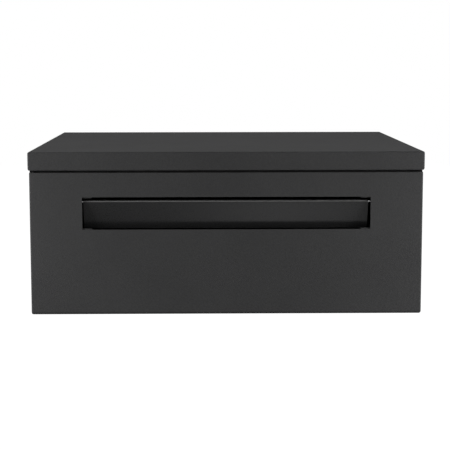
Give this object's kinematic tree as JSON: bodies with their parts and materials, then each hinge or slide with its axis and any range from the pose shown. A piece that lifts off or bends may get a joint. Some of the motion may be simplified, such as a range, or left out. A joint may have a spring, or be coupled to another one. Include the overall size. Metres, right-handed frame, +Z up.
{
  "type": "wall mounted mailbox",
  "caption": "Wide, low wall mounted mailbox of folded sheet steel with a top-opening lid, an inset letter slot flap in the front and a cam lock in the side.",
  "frame": {"origin": "centre of the four wall holes, on the rear face that lies against the wall", "axes": "+X towards the right of a person facing the front, +Y into the wall, +Z up; the front faces -Y"},
  "size_m": [0.4455, 0.3813, 0.1838],
  "materials": {
    "powder_coat": "fine-textured matt anthracite powder coat",
    "flap_coat": "satin anthracite powder coat, a little smoother than the housing",
    "inner_coat": "matt anthracite powder coat, inside",
    "zinc_steel": "zinc-plated steel",
    "rod_steel": "bare drawn steel rod",
    "lock_chrome": "nickel-plated zinc casting",
    "plug_brass": "nickel-plated brass",
    "seal_rubber": "black EPDM rubber"
  },
  "bodies": {
    "housing": {"body_shell": "powder_coat", "back_panel": "powder_coat", "bottom_tray": "inner_coat", "rim_seal": "seal_rubber", "slot_bracket_right": "inner_coat", "slot_bracket_left": "inner_coat", "flap_rod": "rod_steel", "rod_clips": "zinc_steel", "hinge_body_leaf": "inner_coat", "hinge_pin": "rod_steel", "lock_barrel": "lock_chrome", "lock_gasket": "seal_rubber", "lock_washer": "zinc_steel", "lock_nut": "zinc_steel"},
    "lid": {"lid_shell": "powder_coat", "hinge_lid_leaf": "inner_coat", "lid_catch": "inner_coat", "catch_studs": "zinc_steel", "catch_nuts": "zinc_steel"},
    "flap": {"slot_flap": "flap_coat"},
    "lock_core": {"lock_plug": "plug_brass", "lock_cam": "zinc_steel", "cam_washer": "zinc_steel", "cam_screw": "zinc_steel"}
  },
  "joints": [
    {"name": "lid_hinge", "type": "hinge", "parent": "housing", "child": "lid", "pos_m": [0, -0.00435, 0.09945], "axis": [-1, 0, 0], "range_deg": [0, 90]},
    {"name": "flap_hinge", "type": "hinge", "parent": "housing", "child": "flap", "pos_m": [0, -0.3728, 0.047], "axis": [1, 0, 0], "range_deg": [-16.3, 58]},
    {"name": "lock_turn", "type": "hinge", "parent": "housing", "child": "lock_core", "pos_m": [0.2, -0.318, 0.0405], "axis": [1, 0, 0], "range_deg": [0, 90]}
  ]
}
